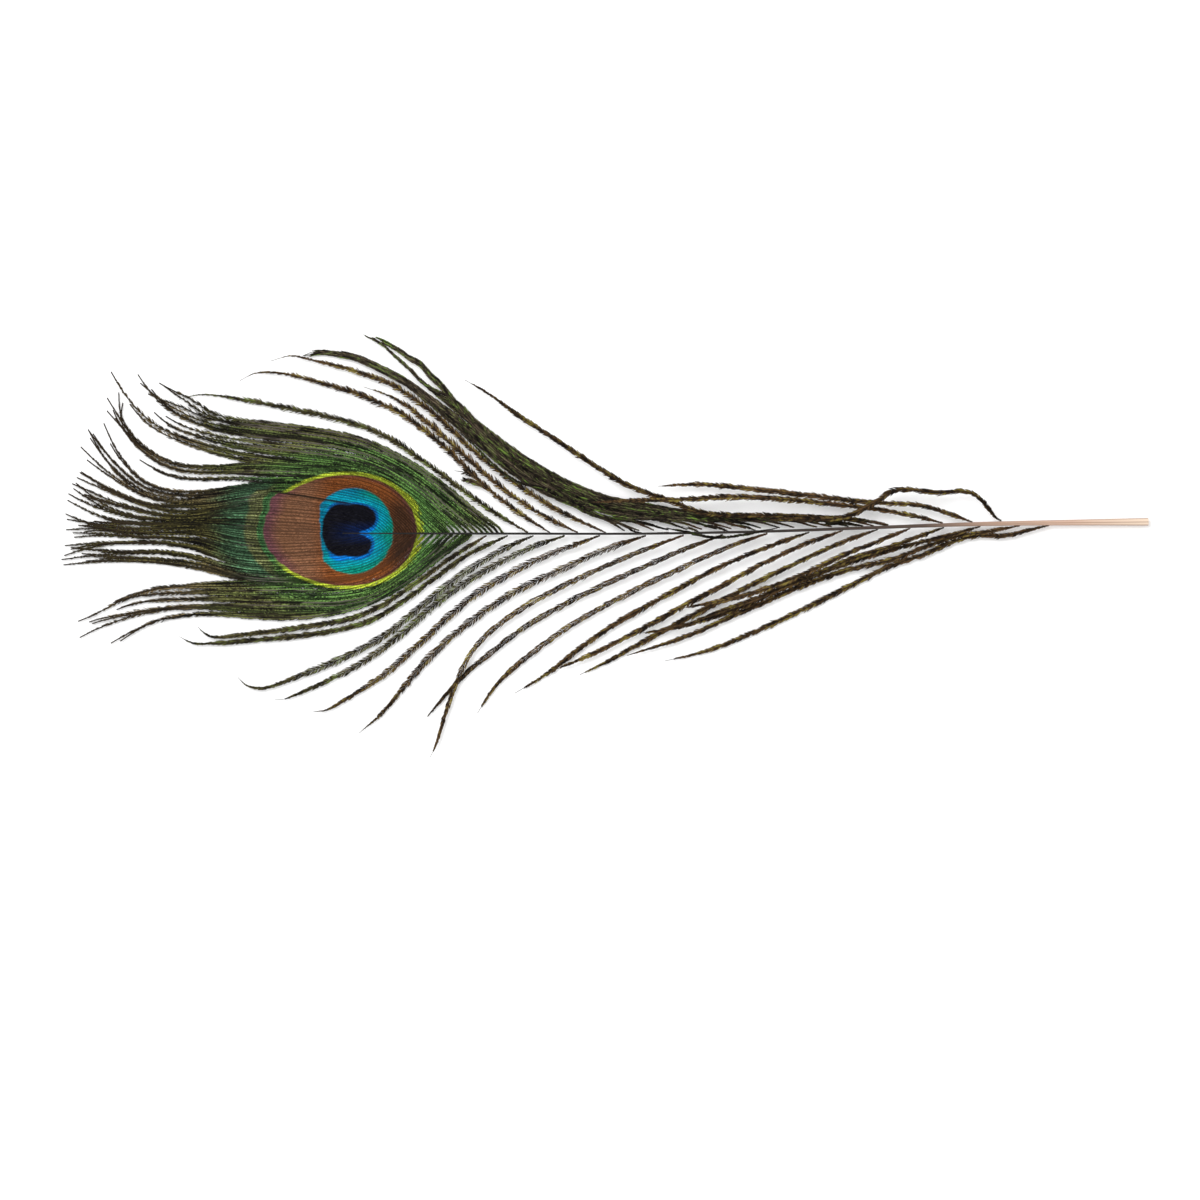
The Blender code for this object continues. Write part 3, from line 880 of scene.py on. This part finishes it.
LOWER_BARBS = [
    ([(107, 4.9), (101, 3.4), (96, 2.3), (90, 2.4), (84, 0.9), (77, -2.2), (69, -4.9), (60, -9.3),
      (48, -15.4), (36, -20.9), (25, -25.2), (15, -27.6)], (1.1, 0.5, 0.4)),
    ([(100, 4.8), (92, 3.3), (84, 2), (76, -0.8), (70, -3.2), (60, -5.5), (50, -8.8), (40, -13),
      (30, -17.4), (20, -21.8), (6, -26.3)], (1.6, 1.2, 1.1)),
    ([(90.5, 4.6), (85, 3), (78, 1.2), (70, -0.8), (60, -3.8), (50, -7.2), (40, -11.6), (32, -15.2),
      (22, -18.5), (14, -20.3), (7.5, -21.1)], (2.6, 2.2, 2.1)),
    ([(81.8, 4.3), (75, 1.9), (68, -0.6), (60, -3), (52, -6.6), (44, -9.7), (36, -13),
      (26.5, -16.4), (20, -18.6)], (3.3, 2.9, 2.9)),
    ([(73.7, 4.1), (66, 1), (58, -2.2), (50, -6), (42, -9.4), (33, -12.2), (26, -13.7),
      (19.5, -14.9)], (3.9, 3.7, 2.7)),
    ([(66, 3.9), (58, 1), (50, -2.5), (40, -7.3), (30, -12.4), (20, -17.6), (10, -23),
      (2, -27.4), (-5.3, -30.9)], (2.1, 0.7, 0.4)),
    ([(57.6, 3.6), (48, 0.1), (38, -4.6), (28, -10), (18, -15.3), (8, -20.8), (-2, -25.8),
      (-12.5, -30.2)], (2.4, 1.4, 1.5)),
    ([(49.6, 3.2), (40, -0.2), (28, -5.2), (16, -11.6), (4, -18.3), (-5, -24.4), (-13, -30.6),
      (-20.8, -35.3)], (2.2, 1.0, 0.4)),
    ([(39.6, 2.9), (30, -0.4), (18, -5.8), (6, -11.6), (-6, -18.2), (-16, -25.2), (-23, -31),
      (-26.6, -35.2), (-29.7, -40)], (2.1, 1.0, 0.4)),
    ([(29, 2.6), (18, -1.6), (6, -6.9), (-6, -12.5), (-18, -19.2), (-27, -26), (-34, -32),
      (-41.8, -41)], (2.0, 0.9, 0.4)),
    ([(19.6, 2.5), (8, -1.9), (-4, -7.1), (-16, -13.2), (-26, -20), (-32, -26.8), (-35.4, -34.5),
      (-37.6, -41), (-39.4, -47), (-41, -50.6)], (1.9, 1.4, 1.2)),
    ([(10.6, 2.4), (0, -1.3), (-12, -6.7), (-22, -11.7), (-32, -18.6), (-41, -26.5), (-47, -33.4),
      (-52.5, -40), (-58, -44.8)], (1.6, 0.8, 0.4)),
    ([(-0.4, 2.4), (-12, -1.9), (-22, -6.7), (-32, -13), (-42, -22), (-52, -30.8), (-61, -36.6),
      (-65.5, -39.2), (-69, -39.7)], (1.4, 0.8, 0.6)),
    ([(-8.8, 2.4), (-18, -0.9), (-28, -6), (-38, -12.6), (-48, -21.2), (-58, -28.4), (-68, -33.4),
      (-75.5, -36.6), (-78.2, -36.7)], (1.2, 0.7, 0.6)),
    ([(-16.3, 2.4), (-24, -1.1), (-34, -7.3), (-44, -15.2), (-52, -21.6), (-62, -26.9),
      (-74, -31.8), (-80.5, -34), (-84.6, -33.6), (-87, -31.5)], (1.1, 0.7, 0.8)),
    ([(-22.4, 2.4), (-32, -2.2), (-41, -8.6), (-50, -15), (-58, -18.9), (-70, -21.3), (-84, -22.7),
      (-95.5, -23.5), (-98.6, -23), (-101, -21.7)], (0.9, 0.6, 0.8)),
    ([(-27.5, 2.4), (-36, -2.9), (-44, -8.6), (-52, -13.9), (-60, -17.4), (-72, -19.6),
      (-84, -21.1), (-91.5, -21.9), (-94.6, -21.2), (-96.6, -19.4)], (0.8, 0.6, 0.8)),
]
print("loose barbs:", len(UPPER_BARBS), "above,", len(LOWER_BARBS), "below")

# %% Model the loose barbs


def barb_stations(route, heights):
    """Stations along a barb, from the shaft's height down to the heights on its way."""
    curve = smooth_curve(route)
    curve = resample(curve, max(8, int(route_length(curve) / STATION_STEP)))
    low, middle, end = heights
    keys = [(0, shaft_at(route[0][0], 2)), (0.15, low), (0.6, middle), (1, end)]
    return np.column_stack([curve, ease(np.linspace(0, 1, len(curve)), keys)])


# Each side: its barbs, their looks, and how many of them come before the greener ones
SIDES = {
    "upper": (UPPER_BARBS, [LOOSE] * 4 + [SPIKY] * 4, 7),
    "lower": (LOWER_BARBS, [LOOSE] * 8 + [SPARSE] * 3 + [HAIRY] * 4 + [LOOSE] * 2, 13),
}
barb_number = 0
for side, (barbs, looks, olive_count) in SIDES.items():
    for number, ((route, heights), look) in enumerate(zip(barbs, looks), start=1):
        barb_number += 1
        barb = grow_barb(barb_stations(route, heights), look, barb_number)
        finish = green if number > olive_count else olive
        total += finish_piece([barb], f"{side}_barb_{number:02d}", finish,
                              f"barb_{side}_{number:02d}")

# %% [markdown]
# ## The clump
# Above the shaft eighteen barbs cling together. Each leaves the shaft at its own place, runs
# between the clump's inner and outer edge, and leaves it in one of three tips. A few short and
# broken barbs lie beside it.

# %% Routes of the clump
MAT_INNER = [
    (69, 5.2), (60, 5), (45, 4.6), (30, 4.5), (20, 4.4), (10, 4.4), (5, 5), (0, 6), (-5, 8.2),
    (-10, 10.3), (-15, 12.7), (-20, 15.6), (-25, 19.8), (-30, 24.4), (-35, 29), (-40, 34.3),
    (-45, 38.4), (-50, 41.2), (-56, 43.5), (-62, 45.6), (-71.5, 45.9)]
MAT_OUTER = [
    (-36, 36.6), (-30, 30.3), (-25, 26.4), (-20, 22.8), (-15, 19.6), (-10, 16.6), (-5, 14.3),
    (0, 12.5), (5, 11.4), (10, 10.5), (15, 9.8), (20, 8.6), (30, 7.5), (45, 6.7), (60, 6.4)]
CLUMP_ROOTS = (9, 16, 24, 31, 38, 46, 55, 62.5, 68.5)
CLUMP_HEIGHTS = (1.8, 1.0)
LAYER_SHIFT = 3.5       # how much nearer the eye the lower layer's roots are
FIRST_STEP, ROUTE_STEP = 7, 8
CLUMP_END = -36         # where the three tips begin
MOST_BROKEN_OFF = 0.3   # the largest share of a barb's length that is broken off
WANDER = 0.045          # how unsteadily a clinging barb runs
CLUMP_FORKS = [
    (0.45, [(-45, 38), (-50, 41), (-55, 43.4), (-60, 45.3), (-67, 46.4), (-71.5, 45.4)]),
    (0.7, [(-38, 37.5), (-41, 40.5), (-43.5, 43.3), (-46, 44.7), (-49, 46.8), (-52, 48.4),
           (-55, 49.8)]),
    (1.01, [(-42, 38.5), (-46, 42.5), (-50, 46), (-52, 48), (-54.5, 49.6), (-57, 50.5)]),
]
# Short barbs beside the clump, each with its height above the table
CLUMP_EXTRAS = [
    ([(42, 4.2), (38, 3.4), (33, 2.4), (28, 1.9), (24, 2.3), (20, 3.3), (15, 4.2)], 3.4),
    ([(68.5, 5), (65, 5.7), (60, 6.2), (56, 6.5)], 3.0),
    ([(62.5, 4.6), (58, 5.2), (52, 5.2)], 2.9),
    ([(16, 3.2), (9, 3), (5, 5), (0, 6.5), (-5, 8.5), (-8, 11.3), (-14, 13.8), (-19, 14.8),
      (-23, 17), (-27, 20.5), (-30, 23.5), (-35, 28)], 2.2),
    ([(23.5, 3.1), (21, 4.2), (18, 4.7)], 2.6),
    ([(30.5, 3.3), (27.5, 4.4), (24, 4.8)], 2.7),
    ([(37, 3.5), (34, 4.6), (30, 5)], 2.8),
]
# Broken ends of barbs, which are as wide as a whole barb
BROKEN_ENDS = [
    ([(-27.5, 13.4), (-30.5, 15.2), (-33.8, 15.9)], 1.4),
    ([(-30, 16.2), (-32.5, 17.5), (-35.2, 17.9)], 1.3),
]
CLUMPED = {
    **LOOSE,
    "reach": [(0, 0.2), (0.08, 0.46), (0.7, 0.54), (0.88, 0.46), (0.96, 0.34), (1, 0.1)],
    "width": [(0, 0.2), (0.85, 0.22), (1, 0.18)],
    "slant": 16,
    "curl": 1.0,
    "bundle": [(0, 0.1), (1, 0.2)],
    "ragged": 0.2,
    "spacing": 1.4,
}
STRAY = {
    **LOOSE,
    "reach": [(0, 0.12), (0.2, 0.32), (0.8, 0.32), (1, 0.1)],
    "stalk": (0.08, 0.06),
}
BROKEN = {
    **LOOSE,
    "reach": [(0, 0.2), (0.3, 0.62), (0.8, 0.55), (1, 0.3)],
}


def edge_at(edge, x):
    """The y of a clump edge at a place along the shaft."""
    places, heights = zip(*sorted(edge))
    return float(np.interp(x, places, heights))


def clump_route(root, share):
    """From the shaft, along the clump, to the tip that this share of the clump ends in."""
    route = [(root, 3.4 + root * 0.02)]
    for x in range(int(root) - FIRST_STEP, CLUMP_END, -ROUTE_STEP):
        inner, outer = edge_at(MAT_INNER, x), edge_at(MAT_OUTER, x)
        route.append((x, inner + (outer - inner) * (0.08 + 0.84 * share)))
    fork = next(fork for limit, fork in CLUMP_FORKS if share < limit)
    return route + fork


print("clump roots", len(CLUMP_ROOTS))

# %% Model the clump
clump = []
dice = np.random.default_rng(5)
for layer, height in enumerate(CLUMP_HEIGHTS):
    for index, root in enumerate(CLUMP_ROOTS):
        share = (index + 0.25 + 0.5 * layer) / len(CLUMP_ROOTS)
        route = clump_route(root - LAYER_SHIFT * layer, share)
        stop = 1 - (MOST_BROKEN_OFF * dice.random() if (index + layer) % 3 else 0)
        stations = barb_stations(route, (height + 0.3, height, 0.5 + 0.4 * share))
        stations = stations[:int(len(stations) * stop)]
        stations[1:-1, 1] += WANDER * dice.normal(size=len(stations) - 2).cumsum()
        clump.append(grow_barb(stations, CLUMPED, len(clump)))
for extras, look in ((CLUMP_EXTRAS, STRAY), (BROKEN_ENDS, BROKEN)):
    for route, height in extras:
        clump.append(grow_barb(barb_stations(route, (height, height, height)), look, len(clump)))
total += finish_piece(clump, "clinging_barbs", clump_dark, "matted_barbs")

# %% [markdown]
# ## The vane around the eye
# The vane is parted into six locks. A few guide barbs give each lock its shape, and the barbs
# between two guides blend from the one to the other. Their barbules are wide and overlap in the
# eye, and turn into separate bundles in the fringe.

# %% Partings, looks and guides
EDGE_TOP = [
    (-23.5, 3.6), (-30, 8.2), (-36, 13.1), (-42, 17.6), (-48, 21.3), (-55, 24.6), (-62, 26.7),
    (-70, 28), (-80, 29.4), (-88, 30.4), (-94, 32), (-99, 34.6), (-106, 36.5)]
PARTING_1 = [
    (-36.5, 3.4), (-41, 7.4), (-46, 11.9), (-52, 15.7), (-58, 17.8), (-64, 18.7), (-72, 19.2),
    (-80, 19.8)]
PARTING_2 = [
    (-42.5, 3.4), (-47, 7.8), (-52, 11.7), (-58, 13.9), (-66, 14.9), (-74, 15.2), (-81, 15)]
PARTING_3 = [
    (-47.5, 3.4), (-51, 6.8), (-55, 9.1), (-60, 10), (-67, 11.2), (-75, 12.4), (-82, 12.2),
    (-90, 10.9), (-98, 10), (-103, 9.9)]
SHAFT_LINE = [
    (-48.5, 3), (-56, 3), (-64, 3), (-75, 3.3), (-85, 3.7), (-95, 4.8), (-103, 4.7)]
PARTING_4 = [
    (-43.5, 2.4), (-48, -1.8), (-54, -6.3), (-61, -8.5), (-69, -8.8), (-77, -8.6)]
EDGE_BOTTOM = [
    (-31, 2.4), (-37, -1.6), (-44, -6.9), (-52, -12), (-60, -15.2), (-70, -17), (-80, -17.3),
    (-90, -16.9), (-100, -17.2), (-107, -18.3), (-113, -20.5), (-120.3, -23.5)]

VANE = {
    **LOOSE,
    "reach": [(0, 0.64), (0.08, 0.72), (0.5, 0.7), (0.66, 0.48), (0.86, 0.44), (0.96, 0.28),
              (1, 0.1)],
    "width": [(0, 0.34), (0.05, 0.24), (0.58, 0.22), (0.7, 0.17), (1, 0.12)],
    "outer_width": 1.0,
    "slant": 32,
    "bundle": [(0, 0.2), (0.5, 0.3), (0.7, 1.0)],
    "bundle_length": 1.5,
    "ragged": 0.22,
    "stalk": (0.13, 0.16),
    "spacing": 1.02,
    "join": [(0.45, 0), (0.66, 0.65), (0.84, 0.7), (1, 0.2)],
}
BARE_TIPS = {
    **VANE,
    "reach": [(0, 0.6), (0.5, 0.54), (0.66, 0.46), (0.84, 0.42), (0.93, 0.28), (1, 0.1)],
}
VANE_EDGE = {
    **BARE_TIPS,
    "reach": [(0, 0.25), (0.06, 0.5), (0.15, 0.62), (0.5, 0.62), (0.7, 0.62), (0.84, 0.58),
              (0.93, 0.36), (1, 0.1)],
    "bundle": [(0, 0.2), (0.68, 0.3), (0.8, 1.0)],
    "ragged": 0.3,
    "join": [(0, 0), (0.15, 0.1), (0.55, 0.1), (0.78, 0.7), (0.86, 0.7), (1, 0.2)],
}
LOWEST = {
    **VANE_EDGE,
    "reach": [(0, 0.35), (0.06, 0.55), (0.15, 0.64), (0.5, 0.62), (0.66, 0.6), (0.84, 0.54),
              (0.93, 0.34), (1, 0.1)],
    "join": [(0.55, 0), (0.72, 0.8), (0.84, 0.8), (1, 0.2)],
}
SEAM_OVERLAP = 0.3      # the lowest lock begins this far under the one above it

# Each lock: its barbs, the strands that they form in the fringe, their look, and the guides from
# the top down
LOCKS = [
    (11, 10, VANE_EDGE, [
        EDGE_TOP + [(-110.5, 37.8)],
        [(-29.5, 3), (-36, 8.5), (-42, 13.5), (-48, 17.8), (-55, 21.3), (-62, 23.3), (-70, 24.6),
         (-80, 25.7), (-90, 27), (-100, 29.5), (-107, 33), (-113.4, 39.3)],
        PARTING_1 + [(-86, 20.6), (-92, 21.9), (-100, 24.4), (-108, 27.7), (-114.5, 33),
                     (-119.9, 40)]]),
    (8, 4, BARE_TIPS, [
        PARTING_1 + [(-86, 19.5), (-92, 19.1), (-98, 19.2), (-104, 20.4), (-111, 23.9),
                     (-116, 28.6), (-116.4, 35)],
        [(-38, 3), (-42, 6.5), (-46, 10.5), (-51, 14.3), (-57, 16.8), (-64, 17.6), (-72, 17.9),
         (-80, 18.4), (-88, 18.4), (-96, 18.3), (-104, 19.8), (-112, 23.8), (-117, 28.5),
         (-122.4, 32)],
        PARTING_2 + [(-86, 15.6), (-92, 15.7), (-98, 15.5), (-104, 16.5), (-110, 19.2),
                     (-120, 24.5)]]),
    (8, 4, BARE_TIPS, [
        PARTING_2 + [(-86, 14.3), (-92, 13.5), (-98, 13.1), (-104, 13.6), (-110, 15.8),
                     (-117, 21.8), (-123.4, 29)],
        PARTING_3 + [(-108, 11), (-112, 12.7), (-119, 17.5), (-126.5, 24.8)]]),
    (20, 6, VANE, [
        PARTING_3 + [(-108, 10), (-112, 11.2), (-120, 14), (-127.2, 17)],
        [(-52, 3), (-56, 6), (-62, 8), (-70, 9), (-80, 9.6), (-90, 8.8), (-97, 7.5), (-105, 8.2),
         (-113, 10.8), (-120, 13.8), (-127, 17)],
        [(-60, 3), (-70, 4), (-80, 4.5), (-90, 5.3), (-97, 5.7), (-105, 5.6), (-113, 5.7),
         (-120, 7), (-127.8, 11)],
        SHAFT_LINE + [(-112, 5.2), (-120, 5.4), (-128.4, 7)]]),
    (24, 7, VANE, [
        SHAFT_LINE + [(-112, 4.4), (-120, 4.8), (-128.5, 5.4)],
        [(-56, 2.9), (-62, 1.7), (-70, 1), (-80, 0.8), (-88, 1.7), (-95, 3.5), (-103, 3.6),
         (-112, 3.5), (-120, 4.4), (-128.5, 4.6)],
        [(-51, 2.9), (-56, 0.2), (-63, -1.8), (-70, -2.4), (-80, -2.9), (-88, -2.3), (-95, 0),
         (-103, 1.3), (-112, 1.7), (-120, 2), (-129.8, 1.2)],
        [(-47, 2.9), (-52, -1), (-58, -4), (-65, -5), (-73, -5.3), (-82, -5.5), (-90, -4.2),
         (-97, -2), (-105, -0.5), (-114, -0.8), (-129.8, -0.7)],
        [(-44, 2.9), (-49, -1.8), (-55, -5.8), (-62, -7.6), (-70, -7.8), (-80, -7.9), (-88, -6.8),
         (-95, -4.6), (-103, -3.4), (-112, -3), (-120, -3.2), (-130.7, -4.2)],
        PARTING_4 + [(-84, -8.2), (-92, -6.7), (-100, -5), (-108, -3.9), (-120, -3.8),
                     (-130, -4.4)]]),
    (11, 5, LOWEST, [
        [(x, y + SEAM_OVERLAP) for x, y in PARTING_4]
        + [(-84, -8.7), (-92, -8.9), (-100, -8.8), (-107, -9.4), (-115, -11.7), (-122, -13.7),
           (-128, -14.4)],
        [(-38, 2.9), (-43, -2), (-49, -7), (-56, -11), (-64, -12.3), (-72, -12.3), (-82, -12),
         (-92, -11.8), (-102, -12), (-112, -12.8), (-120, -16.5), (-126.5, -18.5)],
        [(-33, 2.9), (-40, -3), (-47, -8.5), (-54, -12.8), (-62, -14.7), (-72, -15), (-82, -14.8),
         (-92, -14.3), (-102, -14.3), (-112, -15.8), (-120, -18), (-125, -20.6)],
        EDGE_BOTTOM]),
]
print("vane barbs:", sum(lock[0] for lock in LOCKS))

# %% Model the vane
GUIDE_STATIONS = 70
TIP_SHARE = 0.28        # how much of a barb is its loose tip
TIP_SPREAD = (1.2, 1.9)  # how far a tip strays lengthwise and sideways
TIP_CURL = 0.055        # how far a tip curls up or down for each millimetre away from the shaft
FRINGE_Y = 4            # the shaft's line through the fringe
VANE_HEIGHT = 0.3
UNEVEN = 0.16           # how much the heights in millimetres and the lengths differ


def blend_guides(guides, place):
    """A route between the guides: place 0 is the first guide and 1 is the last."""
    place = place * (len(guides) - 1)
    index = min(int(place), len(guides) - 2)
    share = place - index
    return guides[index] * (1 - share) + guides[index + 1] * share


def vane_stations(guides, place, strand, join_keys, dice):
    """A vane barb: its place in the lock, and the place of the strand that it joins."""
    stations = blend_guides(guides, place)
    share = np.linspace(0, 1, len(stations))
    joined = ease(share, join_keys)[:, None]
    stations = stations * (1 - joined) + blend_guides(guides, strand) * joined
    loose = (np.maximum(share - (1 - TIP_SHARE), 0) / TIP_SHARE)[:, None] ** 2
    curl = (stations[-1, 1] - FRINGE_Y) * TIP_CURL
    stations = stations + loose * (dice.normal(size=2) * TIP_SPREAD + curl)
    stations[0, 1] = shaft_at(stations[0, 0], 1)
    root = shaft_at(stations[0, 0], 2)
    level = VANE_HEIGHT + UNEVEN * dice.random()
    z = ease(share, [(0, root), (0.22, level), (1, level + 0.2 * dice.random())])
    stations = np.column_stack([stations, z])
    return stations[:int(len(stations) * (1 - UNEVEN * dice.random() ** 2))]


dice = np.random.default_rng(11)
first = 0
for number, (count, strand_count, look, guides) in enumerate(LOCKS, start=1):
    guides = [resample(smooth_curve(guide), GUIDE_STATIONS) for guide in guides]
    barbs = []
    shifts = 0.6 * (dice.random(strand_count) - 0.5)
    strands = (np.arange(strand_count) + 0.5 + shifts) / strand_count
    for index in range(count):
        place = index / (count - 1)
        strand = strands[np.abs(strands - place).argmin()]
        stations = vane_stations(guides, place, strand, look["join"], dice)
        barbs.append(grow_barb(stations, look, first + index))
    first += count
    total += finish_piece(barbs, f"vane_lock_{number}_barbs", eye, f"vane_lock_{number}")

# %% [markdown]
# ## Done
# The templates go, and the number of triangles is printed.

# %% Tidy away and finish
for template in (barbule, barbule_row):
    bpy.data.objects.remove(template)
print("triangles", total)
